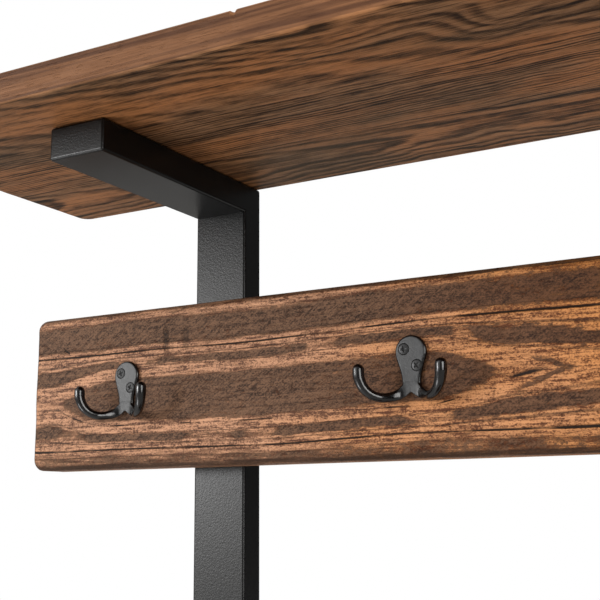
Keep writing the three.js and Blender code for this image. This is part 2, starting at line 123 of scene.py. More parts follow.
class Graph:
    """A material's node tree."""

    def __init__(self, name):
        self.material = bpy.data.materials.new(name)
        self.material.use_nodes = True
        self.tree = self.material.node_tree
        self.tree.nodes.clear()
        self.shader = self.new("ShaderNodeBsdfPrincipled")
        output = self.new("ShaderNodeOutputMaterial")
        self.tree.links.new(self.shader.outputs[0], output.inputs["Surface"])

    def new(self, kind, **settings):
        node = self.tree.nodes.new(kind)
        for key, value in settings.items():
            setattr(node, key, value)
        return node

    def feed(self, slot, value):
        if isinstance(value, Field):
            self.tree.links.new(value.socket, slot)
        else:
            slot.default_value = value

    def coordinates(self, kind):
        place = self.new("ShaderNodeTexCoord")
        split = self.new("ShaderNodeSeparateXYZ")
        self.tree.links.new(place.outputs[kind], split.inputs[0])
        return [Field(self, out) for out in split.outputs]

    def position(self):
        """Object coordinates as three fields, in metres."""
        return self.coordinates("Object")

    def normal(self):
        return self.coordinates("Normal")

    def vector(self, x, y, z):
        node = self.new("ShaderNodeCombineXYZ")
        for slot, value in zip(node.inputs, (x, y, z)):
            self.feed(slot, value)
        return Field(self, node.outputs[0])

    def noise(self, x, y, z, detail=2.0, roughness=0.5, distortion=0.0):
        """Noise from 0 to 1 with features about one unit across."""
        node = self.new("ShaderNodeTexNoise", noise_dimensions="3D")
        self.feed(node.inputs["Vector"], self.vector(x, y, z))
        settings = (("Scale", 1.0), ("Detail", detail), ("Roughness", roughness), ("Distortion", distortion))
        for name, value in settings:
            self.feed(node.inputs[name], value)
        return Field(self, node.outputs[0])

    def ramp(self, value, stops):
        """A number that runs through (position, value) stops."""
        node = self.new("ShaderNodeFloatCurve")
        curve = node.mapping.curves[0]
        for place, height in stops[1:-1]:
            curve.points.new(place, height)
        for point, (place, height) in zip(curve.points, stops):
            point.location = (place, height)
            point.handle_type = "VECTOR"
        node.mapping.update()
        self.feed(node.inputs["Value"], value)
        return Field(self, node.outputs[0])

    def mix(self, share, first, second):
        """A colour between two colours, each a Field or an (r, g, b)."""
        node = self.new("ShaderNodeMix", data_type="RGBA", clamp_factor=True)
        self.feed(node.inputs[0], share)
        for slot, colour in ((node.inputs[6], first), (node.inputs[7], second)):
            self.feed(slot, colour if isinstance(colour, Field) else (*colour, 1.0))
        return Field(self, node.outputs[2])

    def finish(self, colour, roughness, height=None, depth=0.001, **constants):
        """Feeds the shader. Height is in shares of depth, in metres."""
        self.feed(self.shader.inputs["Base Color"], colour if isinstance(colour, Field) else (*colour, 1.0))
        self.feed(self.shader.inputs["Roughness"], roughness)
        for name, value in constants.items():
            self.shader.inputs[name.replace("_", " ")].default_value = value
        if height is not None:
            bump = self.new("ShaderNodeBump")
            bump.inputs["Distance"].default_value = depth
            self.feed(bump.inputs["Height"], height)
            self.tree.links.new(bump.outputs[0], self.shader.inputs["Normal"])
        return self.material


def rgb(code):
    """A colour written as in a style sheet, in the linear values that shaders use."""
    channels = [int(code[i : i + 2], 16) / 255 for i in (0, 2, 4)]
    return tuple(c / 12.92 if c <= 0.04045 else ((c + 0.055) / 1.055) ** 2.4 for c in channels)


# ---- Metal and plastic ----
def powder_coat():
    g = Graph("powder_coat")
    x, y, z = g.position()
    peel = g.noise(x * 680, y * 680, z * 680, detail=2.0, roughness=0.55)
    grit = g.noise(x * 2200, y * 2200, z * 2200, detail=1.0)
    cloud = g.noise(x * 9, y * 9, z * 9, detail=3.0)
    colour = g.mix(cloud.step(0.3, 0.75), rgb("050505"), rgb("0a0a0a"))
    roughness = cloud * 0.07 + grit * 0.06 + 0.24
    return g.finish(colour, roughness, peel * 0.8 + grit * 0.2, depth=0.00015, Specular_IOR_Level=0.24)


def hook_iron():
    """Black enamel on cast iron: satin and slightly grey on the ground plate face, glossy on the prongs."""
    g = Graph("hook_iron")
    x, y, z = g.position()
    n = g.normal()
    face = n[1].step(-0.90, -0.985) * y.step(-4.8 * MM, -3.8 * MM)
    grain = g.noise(x * 1500, y * 1500, z * 1500, detail=3.0, roughness=0.7)
    pits = g.noise(x * 420, y * 420, z * 420, detail=2.0)
    colour = g.mix(face, rgb("030304"), g.mix(grain.step(0.35, 0.7), rgb("0b0c0d"), rgb("1e1f21")))
    roughness = face * 0.20 + pits * 0.10 + grain * 0.06 + 0.09
    height = grain * (face * 0.9 + 0.10) + pits * 0.6
    return g.finish(colour, roughness, height, depth=0.00018, Specular_IOR_Level=0.45)


def screw_black():
    g = Graph("screw_black")
    x, y, z = g.position()
    grain = g.noise(x * 2000, y * 2000, z * 2000, detail=2.0)
    wear = g.noise(x * 600, y * 600, z * 600, detail=2.0)
    colour = g.mix(wear.step(0.45, 0.8), rgb("0a0a0b"), rgb("1d1d1e"))
    return g.finish(colour, grain * 0.15 + 0.30, grain, depth=0.00008, Metallic=0.2)


def zinc():
    g = Graph("zinc")
    x, y, z = g.position()
    spangle = g.noise(x * 160, y * 160, z * 160, detail=3.0, distortion=0.8)
    grain = g.noise(x * 2400, y * 2400, z * 2400, detail=2.0)
    colour = g.mix(spangle, rgb("8f9398"), rgb("c3c6c9"))
    return g.finish(colour, spangle * 0.2 + 0.25, grain, depth=0.00005, Metallic=1.0)


def moulded_plastic():
    g = Graph("moulded_plastic")
    x, y, z = g.position()
    spark = g.noise(x * 1800, y * 1800, z * 1800, detail=2.0, roughness=0.7)
    scuff = g.noise(x * 120, y * 120, z * 60, detail=4.0)
    colour = g.mix(scuff.step(0.55, 0.8), rgb("151516"), rgb("2a2a2b"))
    return g.finish(colour, scuff * 0.2 + 0.5, spark, depth=0.00012)


# ---- Wood ----
def staves(place, start, width, values):
    """The number of the glued stave that a place is on, and the stave's value from each row of values."""
    number = ((place - start) / width).floor()
    chosen = []
    for row in values:
        total = number * 0.0 + row[0]
        for i in range(1, len(row)):
            total = total + number.above(i - 0.5) * (row[i] - row[i - 1])
        chosen.append(total)
    return number, chosen


class Grain:
    """The noises that a rustic board's layers share, 0 to 1, or -0.5 to 0.5 where 0.5 is taken off."""

    def __init__(self, g, along, across, deep):
        def layer(stretch, scale, detail, roughness=0.5):
            return g.noise(along * stretch, across * scale, deep * scale, detail=detail, roughness=roughness)

        self.ripple = layer(10, 60, 3.0) - 0.5
        self.ragged = layer(110, 330, 4.0, 0.65) - 0.5
        self.dashes = layer(22, 25, 2.0).step(0.36, 0.52)
        self.patch = layer(26, 80, 3.0, 0.55) - 0.5
        self.blotch = layer(150, 270, 5.0, 0.72) - 0.5
        self.speck = layer(600, 850, 3.0, 0.7) - 0.5
        self.cloud = layer(4.5, 14, 3.0)
        self.fibre = layer(38, 1300, 4.0, 0.65)
        self.streaks = layer(26, 360, 5.0, 0.68)
        self.flecks = layer(260, 480, 3.0, 0.6).step(0.66, 0.76)
        self.wander = layer(26, 20, 3.0)
        slant_across = across * 0.82 - along * 0.57
        slant_along = along * 0.82 + across * 0.57
        self.scratches = g.noise(slant_along * 70, slant_across * 620, deep * 200, detail=3.0, roughness=0.6)
        self.chatter = self.scratches * layer(12, 24, 1.0).step(0.42, 0.62)


def stained_share(g, grain, smooth, upper, tip):
    """How much dark stain lies at a place, 0 to 1: broken bands at set distances from the heart."""
    reach = 80  # mm from the heart to the last band
    s = smooth + grain.ripple * 3.2 + grain.ragged * 3.6
    bands = [
        (0.0, 0.77), (0.17, 0.75), (0.205, 0.24), (0.24, 0.10), (0.31, 0.10), (0.33, 0.90), (0.385, 0.92),
        (0.41, 0.10), (0.47, 0.08), (0.505, 0.26), (0.555, 0.76), (0.76, 0.84), (0.82, 0.32), (1.0, 0.22),
    ]
    density = g.ramp((s / reach).clamped(), bands)
    gap = s.bump_at(28.5, 3.0, 1.5) * (grain.dashes * -1 + 1.0)
    density = density - gap * 0.55 - s.step(40, 44) * (upper * -1 + 1.0) * 0.26
    tip_line, tip_share = tip
    at_tip = (tip_line + grain.ripple * 7 + grain.ragged * 7).bump_at(0.0, 0.9, 2.4)
    density = density + at_tip * tip_share * 0.55
    stain = (density - 0.5) * 1.55 + grain.patch * 1.0 + grain.blotch * 3.0 + grain.speck * 1.6
    return stain.step(-0.26, 0.22)


def stained_wood(g, grain, stained, along):
    """Tan wood under dark stain, both cooler at the board's left end and warmer at its right."""
    warm = (along * 2.1 + 0.62 + (grain.cloud - 0.5) * 1.3).step(0.0, 1.0)
    weave = grain.streaks * 0.7 + grain.fibre * 0.3 + grain.blotch * 0.6 + grain.speck * 0.6
    pale = g.mix(warm, rgb("b18364"), rgb("bd7a36"))
    tan = g.mix(weave.step(0.37, 0.62), g.mix(warm, rgb("482b1b"), rgb("55290c")), pale)
    tan = g.mix(grain.chatter.step(0.44, 0.66) * 0.35, tan, rgb("4f2f1b"))
    hatch = grain.scratches * 0.5 + grain.streaks * 0.3 + grain.blotch * 0.6 + grain.speck * 0.7
    deep_stain = g.mix(warm, rgb("604634"), rgb("4c2d19"))
    umber = g.mix(hatch.step(0.22, 0.56), rgb("1e120b"), deep_stain)
    return g.mix(stained * 0.95, tan, umber)


def split_lines(grain, smooth, upper):
    """The open cracks along the grain, and the fine dark lines beside them."""
    crack_width = grain.wander.step(0.30, 0.60) * 0.6 + 0.4
    crack = abs(smooth - 38.0).step(0.95, 0.15) * crack_width
    heart_crack = abs(smooth - 18.2).step(0.8, 0.1) * (upper * -1 + 1.0) * grain.wander.step(0.55, 0.42)
    lines = smooth.bump_at(24.8, 0.1, 0.6) * 0.5 + smooth.bump_at(33.4, 0.1, 0.7) * 0.6 + heart_crack * 1.1
    lines = lines + smooth.bump_at(44.0, 0.1, 0.6) * 0.35 + smooth.bump_at(8.0, 0.1, 0.7) * 0.3
    return crack, lines


def facing(g):
    """How squarely the surface faces each axis, and a field: 1 on eased edges, 0 on flat faces."""
    n = [abs(part) for part in g.normal()]
    return n, n[0].larger(n[1]).larger(n[2]).step(0.985, 0.80)


def rustic_board(name, node, thick_axis, ring):
    """Stained, brushed softwood. ring(along, across) gives the distance in mm from the pattern's heart, how far
    the pattern closes there, whether the place is above the heart, and the line and strength of a tip."""
    low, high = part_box(node)
    g = Graph(name)
    place = g.position()
    wide_axis = 3 - thick_axis
    along, across, deep = place[0], place[wide_axis], place[thick_axis]
    grain = Grain(g, along, across, deep)
    outer = low[thick_axis] if thick_axis == 1 else high[thick_axis]
    from_heart, closing, upper, tip = ring(along, across)
    closing = closing * (from_heart / -38 + 1.0).clamped()
    smooth = from_heart + closing + abs(deep - outer) * 620 + grain.ripple * 2.4

    stained = stained_share(g, grain, smooth, upper, tip)
    colour = stained_wood(g, grain, stained, along)
    crack, lines = split_lines(grain, smooth, upper)
    colour = g.mix((crack * 1.3 + lines).clamped(), colour, rgb("1b100a"))
    colour = g.mix(grain.flecks * 0.7, colour, rgb("1f140d"))
    edge = facing(g)[1]
    burnish = (edge * (grain.cloud * 0.9 + 0.45)).clamped()
    colour = g.mix(burnish * 0.85, colour, rgb("2c1c12"))
    roughness = stained * 0.10 + grain.fibre * 0.12 + 0.46 - burnish * 0.06
    height = grain.fibre * 0.28 + grain.chatter * 0.16 - stained * 0.30 - crack * 1.2 - lines * 0.5
    height = height - grain.flecks * 0.4

    marks = extra_marks(g, node, along, across)
    if marks is not None:
        colour = g.mix(marks, colour, rgb("1f1610"))
        height = height - marks * 0.6
    return g.finish(colour, roughness, height, depth=0.0009, Specular_IOR_Level=0.13)


def extra_marks(g, node, along, across):
    """The hook board's own scuffs and gouge, which no other board has."""
    if node != "hook_board":
        return None
    low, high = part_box(node)
    x, drop = (along - low.x) / MM, (across * -1 + high.z) / MM
    ragged = g.noise(along * 380, across * 420, 0.0, detail=4.0, roughness=0.7)
    reach = (drop + ragged * 16).bump_at(37, 6, 6)
    wander = x + ragged * 6
    scuffs = wander.bump_at(147, 1.6, 2.2) + wander.bump_at(167, 1.8, 2.8) * 0.7
    scuffs = scuffs * reach * ragged.step(0.30, 0.50) * 0.7
    tilt = drop - 30.5 - (x - 37) * 0.62
    gouge = tilt.bump_at(0.0, 0.5, 0.9) * x.bump_at(37, 2.6, 1.2)
    return (scuffs + gouge).clamped()


def hook_board_rings(along, across):
    """One heart line below the board's middle; its rings close to a point right of the second hook."""
    low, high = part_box("hook_board")
    heart = high.z - 76 * MM
    x = (along - low.x) / MM
    wave = (x / 95).sine() * 1.6 + (x / 41 + 2.0).sine() * 0.8
    v = (across - heart) / MM + wave
    left_tip, right_tip = x.ramped(80, 30) * 17, x.ramped(850, 960) * 20
    closing = left_tip + x.ramped(383, 431) * 16.5 + x.ramped(431, 505) * 5.0
    closing = closing - x.step(620, 790) * 21 + right_tip
    tip_line = (x - 479) * 0.36 + abs(v)
    tip_share = x.step(428, 456) * v.step(13, 4)
    return (v * v + 9.0).power(0.5) - 3.0, closing, v.step(-2.0, 2.0), (tip_line, tip_share)


def seat_rings(along, across):
    """Three glued staves, each with a heart line and closings of its own."""
    low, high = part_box("bench_seat")
    width = (high.y - low.y) / 3
    rows = ([0.38, 0.72, 0.20], [0.0, 310.0, 640.0])
    number, (share, shift) = staves(across, low.y, width, rows)
    local = (across - low.y) - number * width
    x = (along - low.x) / MM + shift
    wave = (x / 88).sine() * 2.2 + (x / 37 + 2.0).sine() * 0.9
    v = (local - share * width) / MM + wave
    closing = (x / 135).sine() * 14 + (x / 61 + 1.0).sine() * 6 + 16
    return (v * v + 9.0).power(0.5) - 3.0, closing, v.step(-2.0, 2.0), (v, 0.0)


def walnut_rings(g, low, high, along, across, deep):
    """The dark late wood of each stave, 0 to 1, and the place across a stave as a share of its width."""
    hearts = [1.07, -0.85, 0.35]
    spacings = [10.5, 3.4, 6.0]
    slopes = [0.16, 0.01, 0.05]
    wildness = [1.0, 0.16, 0.35]
    width = (high.y - low.y) / len(hearts)
    rows = (hearts, spacings, slopes, wildness)
    number, (heart, spacing, slope, wild) = staves(across, low.y, width, rows)
    local = across - low.y - number * width
    x = (along - low.x) / MM
    shifted = x + number * 437
    swirl = g.noise(shifted / 105, across * 15, number * 3.1, detail=1.0, roughness=0.4) - 0.5
    ripple = g.noise(shifted / 60, across * 130, number * 5.3, detail=3.0) - 0.5
    eddy = g.noise(shifted / 34, across * 40, number * 4.7, detail=1.0, roughness=0.4) - 0.5
    figure = x.step(150, 560) * wild
    v = (local - heart * width) / MM
    v = v + swirl * (figure * 100 + wild * 25) + eddy * (figure * 22 + wild * 8)
    rise = (deep * -1 + high.z) * 420
    bend = (shifted / 150).sine() * 5 + (shifted / 47).sine() * 1.6
    radius = (v * v + 2000.0).power(0.5) + shifted * slope + rise + ripple * 2.6
    radius = radius + (bend + swirl * 16 + eddy * 12) * wild
    rings = radius / spacing + 40.0
    turn = rings.fraction()
    tone = g.noise(rings.floor() * 7.31, number * 2.7, 0.0, detail=0.0).step(0.25, 0.70)
    late = turn.step(0.10, 0.66) * turn.step(1.0, 0.70) * (tone * 0.8 + 0.2)
    return late, local / width


def walnut_board(name, node):
    """Dark stained boards glued up from staves: wide flame figure in front, tight straight grain behind."""
    low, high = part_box(node)
    g = Graph(name)
    along, across, deep = g.position()
    late, share = walnut_rings(g, low, high, along, across, deep)
    fibre = g.noise(along * 24, across * 900, deep * 900, detail=4.0, roughness=0.65)
    streak = g.noise(along * 7, across * 210, deep * 210, detail=4.0, roughness=0.6)
    cloud = g.noise(along * 6, across * 16, deep * 16, detail=3.0)
    pores = g.noise(along * 90, across * 1500, deep * 1500, detail=2.0).step(0.60, 0.72)
    mottle = g.noise(along * 60, across * 260, deep * 260, detail=4.0, roughness=0.7)
    dark = late * 0.80 + (streak - 0.5) * 1.3 + (fibre - 0.5) * 2.1
    dark = dark + (cloud - 0.5) * 0.9 + (mottle - 0.5) * 1.3
    dark = dark.step(-0.38, 0.92)

    light = g.mix(cloud.step(0.38, 0.66), rgb("a16a40"), rgb("8a6546"))
    shade = g.mix(streak.step(0.3, 0.7), rgb("2e1a09"), rgb("1c0e04"))
    colour = g.mix(dark, light, shade)
    olive = g.noise(along * 3.2, across * 9, 4.0, detail=2.0).step(0.50, 0.68)
    colour = g.mix(olive * 0.35, colour, rgb("4e3f2c"))
    colour = g.mix(pores * 0.65, colour, rgb("190f09"))
    joint = abs(share - 0.5).step(0.4955, 0.4995)
    colour = g.mix(joint * 0.75, colour, rgb("170e09"))
    n, edge = facing(g)
    fade = g.noise(along * 5, deep * 260, across * 10, detail=4.0)
    sanded = g.mix(fade.step(0.36, 0.64), rgb("4c2e1b"), rgb("7a5235"))
    sanded = g.mix(fibre.step(0.35, 0.8) * 0.4, sanded, rgb("472a18"))
    colour = g.mix(n[1].step(0.75, 0.95) * 0.80, colour, sanded)
    # Painted highlight: the eased edges are mixed towards a streaked light tan in place of the light their
    # rounding catches.
    colour = g.mix(edge * (streak * 0.7 + 0.3) * 0.55, colour, rgb("9a6a45"))

    roughness = dark * 0.10 + fibre * 0.12 + 0.40
    height = fibre * 0.45 - late * 0.25 - pores * 0.5 - joint * 0.8
    return g.finish(colour, roughness, height, depth=0.0005, Specular_IOR_Level=0.12)


# ---- Meshes ----
def add_object(name, data):
    obj = bpy.data.objects.new(name, data)
    bpy.context.scene.collection.objects.link(obj)
    return obj


def dressed(mesh, material):
    """Gives a mesh one material and smooth shading."""
    mesh.materials.clear()
    mesh.materials.append(material)
    mesh.polygons.foreach_set("use_smooth", [True] * len(mesh.polygons))
    return mesh


def make_object(name, vertices, faces, material):
    mesh = bpy.data.meshes.new(name)
    mesh.from_pydata([tuple(v) for v in vertices], [], faces)
    mesh.validate()
    return add_object(name, dressed(mesh, material))


def dress_node(node, material):
    """Gives a CAD node, which stays as it is, its material."""
    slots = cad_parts[node].data.materials
    slots.clear()
    slots.append(material)


def apply_modifiers(obj):
    graph = bpy.context.evaluated_depsgraph_get()
    mesh = bpy.data.meshes.new_from_object(obj.evaluated_get(graph))
    obj.modifiers.clear()
    obj.data = mesh
    return obj


def stands_for(obj, slot, *nodes, body=TREE):
    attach(obj, body)
    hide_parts(*nodes)
    return obj


def stations(half, edge, step):
    """Places from -half to half, close together near the ends, where the surface is rounded."""
    near = [half - edge * share for share in (0, 0.06, 0.16, 0.30, 0.48, 0.7, 1.0, 1.5, 2.2)]
    count = max(2, round(2 * near[-1] / step))
    middle = [near[-1] * (2 * i / count - 1) for i in range(1, count)]
    return np.array(sorted([-v for v in near] + middle + near))


def lattice_box(axes):
    """The surface of a box as a closed grid of quads. axes are the three lists of places."""
    counts = [len(axis) for axis in axes]
    index, points, faces = {}, [], []

    def corner(i, j, k):
        key = (i, j, k)
        if key not in index:
            index[key] = len(points)
            points.append((axes[0][i], axes[1][j], axes[2][k]))
        return index[key]

    for fixed in range(3):
        a, b = (fixed + 1) % 3, (fixed + 2) % 3
        for end in (0, counts[fixed] - 1):
            for i in range(counts[a] - 1):
                for j in range(counts[b] - 1):
                    quad = []
                    for di, dj in ((0, 0), (1, 0), (1, 1), (0, 1)):
                        key = [0, 0, 0]
                        key[fixed], key[a], key[b] = end, i + di, j + dj
                        quad.append(corner(*key))
                    faces.append(quad if end else quad[::-1])
    return np.array(points), faces


def eased_points(points, half, thick_axis, corner, edge):
    """Moves a box's surface onto a board with rounded corners and eased edges, and gives its normals."""
    plan = [axis for axis in range(3) if axis != thick_axis]
    inner = points.copy()
    core = np.stack([np.clip(points[:, a], -(half[a] - corner), half[a] - corner) for a in plan], 1)
    away = points[:, plan] - core
    length = np.maximum(np.linalg.norm(away, axis=1, keepdims=True), 1e-12)
    inner[:, plan] = core + away / length * np.minimum(length, corner - edge)
    reach = half[thick_axis] - edge
    inner[:, thick_axis] = np.clip(points[:, thick_axis], -reach, reach)
    normal = points - inner
    normal /= np.linalg.norm(normal, axis=1, keepdims=True)
    return inner + normal * edge, normal


def worn(points, normals, wear, seed):
    """Sinks the surface a little: long shallow troughs along the grain, and rubbed, uneven edges."""
    moved = points.copy()
    for i, (p, n) in enumerate(zip(points, normals)):
        trough = noise.noise(Vector((p[0] * 7 + seed, p[1] * 75, p[2] * 75)))
        rub = noise.noise(Vector((p[0] * 22 + seed, p[1] * 40, p[2] * 40 + 9)))
        nick = noise.noise(Vector((p[0] * 90 + seed, p[1] * 120, p[2] * 120 + 5)))
        edge = 1 - max(abs(n))
        depth = 0.12 * (trough + 0.6) + min(edge * 5, 1) * wear * (0.55 + rub + 0.35 * max(nick, 0))
        moved[i] = p - n * max(depth, 0) * MM
    return moved


def nicked(points, normals, half, x_nick, size):
    """A small dent in the upper front edge."""
    across = np.clip(1 - np.abs(points[:, 0] - x_nick) / size, 0, 1)
    from_edge = np.hypot(points[:, 1] + half[1], points[:, 2] - half[2])
    reach = np.clip(1 - from_edge / (2.2 * size), 0, 1)
    return points - normals * (across * reach * 1.1 * size)[:, None]


def board(name, node, thick_axis, material, slot, edge, step, wear, seed, nick=None):
    """A board with eased, worn edges. nick is the place along X of a dent in its upper front edge."""
    low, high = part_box(node)
    centre, half = (low + high) / 2, (high - low) / 2
    axes = [stations(half[a], BOARD_CORNER if a != thick_axis else edge, step) for a in range(3)]
    if nick is not None:
        around = nick + np.linspace(-3, 3, 13) * MM
        axes[0] = np.array(sorted({*axes[0].tolist(), *around.tolist()}))
    points, faces = lattice_box(axes)
    rounded, normals = eased_points(points, half, thick_axis, BOARD_CORNER, edge)
    surface = worn(rounded, normals, wear, seed)
    if nick is not None:
        surface = nicked(surface, normals, half, nick, 2.6 * MM)
    surface = surface + np.array(centre)
    obj = make_object(name, surface, faces, material)
    return stands_for(obj, slot, node)


def bar_profile(cells, x_low, x_high):
    """A plate of the given (y0, y1, z0, z1) rectangles, from x_low to x_high, as one closed shell."""
    cells = [tuple(round(v, 5) for v in c) for c in cells]
    ys = sorted({v for c in cells for v in c[:2]})
    zs = sorted({v for c in cells for v in c[2:]})

    def filled(i, j):
        if not (0 <= i < len(ys) - 1 and 0 <= j < len(zs) - 1):
            return False
        y, z = (ys[i] + ys[i + 1]) / 2, (zs[j] + zs[j + 1]) / 2
        return any(c[0] < y < c[1] and c[2] < z < c[3] for c in cells)

    bm = bmesh.new()
    spots = {}

    def spot(x, i, j):
        key = (x, i, j)
        if key not in spots:
            spots[key] = bm.verts.new((x, ys[i], zs[j]))
        return spots[key]

    for i in range(len(ys) - 1):
        for j in range(len(zs) - 1):
            if not filled(i, j):
                continue
            ring = [(i, j), (i + 1, j), (i + 1, j + 1), (i, j + 1)]
            bm.faces.new([spot(x_high, *c) for c in ring])
            bm.faces.new([spot(x_low, *c) for c in ring[::-1]])
            beside = [(i, j - 1), (i + 1, j), (i, j + 1), (i - 1, j)]
            for k, neighbour in enumerate(beside):
                if not filled(*neighbour):
                    a, b = ring[k], ring[(k + 1) % 4]
                    bm.faces.new([spot(x_low, *a), spot(x_low, *b), spot(x_high, *b), spot(x_high, *a)])
    bmesh.ops.recalc_face_normals(bm, faces=bm.faces)
    bm.normal_update()
    bmesh.ops.dissolve_limit(bm, angle_limit=0.01, verts=bm.verts, edges=bm.edges)
    return bm


def rounded_shell(name, bm, radius, material):
    """Rounds every outer edge of a shell and makes it an object. Inner corners stay crisp."""
    sharp_angle, segments = 0.5, 5
    sharp = [e for e in bm.edges if e.calc_face_angle(0) > sharp_angle and e.is_convex]
    bmesh.ops.bevel(
        bm, geom=sharp, offset=radius, segments=segments, profile=0.5, affect="EDGES", clamp_overlap=True
    )
    bmesh.ops.recalc_face_normals(bm, faces=bm.faces)
    bm.normal_update()
    for e in bm.edges:
        e.smooth = e.calc_face_angle(0) < sharp_angle
    mesh = bpy.data.meshes.new(name)
    bm.to_mesh(mesh)
    bm.free()
    obj = add_object(name, dressed(mesh, material))
    weighted = obj.modifiers.new("weighted", "WEIGHTED_NORMAL")
    weighted.keep_sharp = True
    weighted.weight = 100
    return apply_modifiers(obj)


def circle(radius, z, sides):
    """Evenly spaced points round the Z axis."""
    turns = [2 * math.pi * i / sides for i in range(sides)]
    return [(radius * math.cos(a), radius * math.sin(a), z) for a in turns]


def tube_faces(count, sides):
    """Quads that join count rings of points, and a flat face over the first ring."""
    faces = []
    for r in range(count - 1):
        for i in range(sides):
            j = (i + 1) % sides
            faces.append((r * sides + i, r * sides + j, (r + 1) * sides + j, (r + 1) * sides + i))
    faces.append(tuple(range(sides))[::-1])
    return faces


def turned_head(radius, sides, rings, height, tail):
    """A round head with the given height(x, y), carried down through tail's (radius, height) pairs."""
    points, faces = [(0.0, 0.0, height(0.0, 0.0))], []
    for r in range(1, rings + 1):
        points += [(x, y, height(x, y)) for x, y, _ in circle(radius * r / rings, 0.0, sides)]
    for reach, z in tail:
        points += circle(reach, z, sides)
    for i in range(sides):
        faces.append((0, 1 + i, 1 + (i + 1) % sides))
    for r in range(rings + len(tail) - 1):
        for i in range(sides):
            j = (i + 1) % sides
            a, b = 1 + r * sides, 1 + (r + 1) * sides
            faces.append((a + i, b + i, b + j, a + j))
    end = len(points)
    points.append((0.0, 0.0, tail[-1][1]))
    for i in range(sides):
        faces.append((end - sides + i, end, end - sides + (i + 1) % sides))
    return points, faces


def smooth_inside(distance, softness):
    """1 well inside a line, 0 outside it; distance is positive inside."""
    t = min(max(distance / softness + 0.5, 0.0), 1.0)
    return t * t * (3 - 2 * t)


def cross_recess(x, y):
    """Depth of a cross recess, in metres."""
    reach, width = 2.35 * MM, 0.62 * MM
    r = math.hypot(x, y)
    arms = max(smooth_inside(width - abs(x), 0.3 * MM), smooth_inside(width - abs(y), 0.3 * MM))
    well = smooth_inside(1.15 * MM - r, 0.5 * MM)
    return max(arms, well) * smooth_inside(reach - r, 0.35 * MM) * (0.5 + 0.9 * (1 - r / reach)) * MM


def hex_recess(x, y):
    """Depth of a hexagon socket, in metres."""
    flat = max(abs(x), abs(x / 2 + y * math.sqrt(3) / 2), abs(x / 2 - y * math.sqrt(3) / 2))
    return 2.1 * MM * smooth_inside(2.0 * MM - flat, 0.35 * MM)


def hook_screw_mesh():
    head = 4 * MM

    def top(x, y):
        r = math.hypot(x, y) / head
        return 0.55 * MM * (1 - r * r) - cross_recess(x, y)

    tail = [(3.95 * MM, -0.25 * MM), (1.9 * MM, -2.2 * MM), (1.8 * MM, -16 * MM), (0.4 * MM, -20 * MM)]
    return turned_head(head, 64, 22, top, tail)


def button_bolt_mesh(length):
    """A round head above z = 0 and a shank below it."""
    head = 6 * MM

    def top(x, y):
        r = min(math.hypot(x, y) / head, 1.0)
        return BUTTON_RISE * math.sqrt(max(1 - 0.93 * r * r, 0)) - hex_recess(x, y)

    tail = [(head, 0.25 * MM), (head - 0.3 * MM, 0.0), (3 * MM, 0.0), (3 * MM, -length), (1.5 * MM, -length)]
    return turned_head(head, 48, 16, top, tail)


def countersunk_bolt_mesh(length):
    tail = [(5.95 * MM, -0.35 * MM), (3 * MM, -3.3 * MM), (3 * MM, -length), (1.5 * MM, -length)]
    return turned_head(6 * MM, 48, 16, lambda x, y: -hex_recess(x, y), tail)


AIMS = {
    "up": Matrix.Identity(3),
    "down": Matrix.Rotation(math.pi, 3, "X"),
    "forward": Matrix.Rotation(math.pi / 2, 3, "X"),
    "back": Matrix.Rotation(-math.pi / 2, 3, "X"),
    "left": Matrix.Rotation(-math.pi / 2, 3, "Y"),
    "right": Matrix.Rotation(math.pi / 2, 3, "Y"),
}


def fastener(node, mesh, aim, turn, material, slot):
    """A fastener with its head along aim, put where its CAD node is. Hook screws stand slightly proud."""
    low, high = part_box(node)
    centre = (low + high) / 2
    outward = AIMS[aim] @ Vector((0, 0, 1))
    reach = max((corner - centre).dot(outward) for corner in (low, high))
    matrix = AIMS[aim] @ Matrix.Rotation(math.radians(turn), 3, "Z")
    points = [matrix @ Vector(p) for p in mesh[0]]
    top = max(p.dot(outward) for p in points)
    proud = 0.45 * MM if node.startswith("hook_screw") else 0.0
    origin = centre + outward * (reach + proud - top)
    obj = make_object(f"{node}_fine", [p + origin for p in points], mesh[1], material)
    return stands_for(obj, slot, node)


# ---- Hooks ----
def catmull(points, per_span):
    """A smooth line through points, as an array."""
    p = np.array([2 * np.array(points[0]) - points[1], *points, 2 * np.array(points[-1]) - points[-2]])
    line = []
    for i in range(1, len(p) - 2):
        for t in np.linspace(0, 1, per_span, endpoint=False):
            a, b, c, d = p[i - 1], p[i], p[i + 1], p[i + 2]
            cubic = (3 * b - a - 3 * c + d) * t**3
            line.append(0.5 * (2 * b + (c - a) * t + (2 * a - 5 * b + 4 * c - d) * t**2 + cubic))
    line.append(p[-2])
    return np.array(line)


def swept_rod(line, radii, sides=20):
    """A closed rod along a line, with round ends, as points and faces."""
    tangents = np.gradient(line, axis=0)
    tangents /= np.linalg.norm(tangents, axis=1, keepdims=True)
    side = np.cross(tangents[0], (0.0, 0.0, 1.0))
    side /= np.linalg.norm(side)
    rings = []
    for here, along, radius in zip(line, tangents, radii):
        side = side - along * side.dot(along)
        side /= np.linalg.norm(side)
        rings.append((here, along, side, np.cross(along, side), radius))
    caps = [math.pi / 2 * i / 5 for i in range(1, 5)]
    first, last = rings[0], rings[-1]
    start = [
        (first[0] - first[1] * first[4] * math.sin(a), *first[1:4], first[4] * math.cos(a)) for a in caps
    ]
    end = [(last[0] + last[1] * last[4] * math.sin(a), *last[1:4], last[4] * math.cos(a)) for a in caps]
    rings = start[::-1] + rings + end
    points = []
    for here, along, side, other, radius in rings:
        for i in range(sides):
            a = 2 * math.pi * i / sides
            points.append(here + radius * (math.cos(a) * side + math.sin(a) * other))
    faces = tube_faces(len(rings), sides)
    faces.append(tuple((len(rings) - 1) * sides + i for i in range(sides)))
    return points, faces


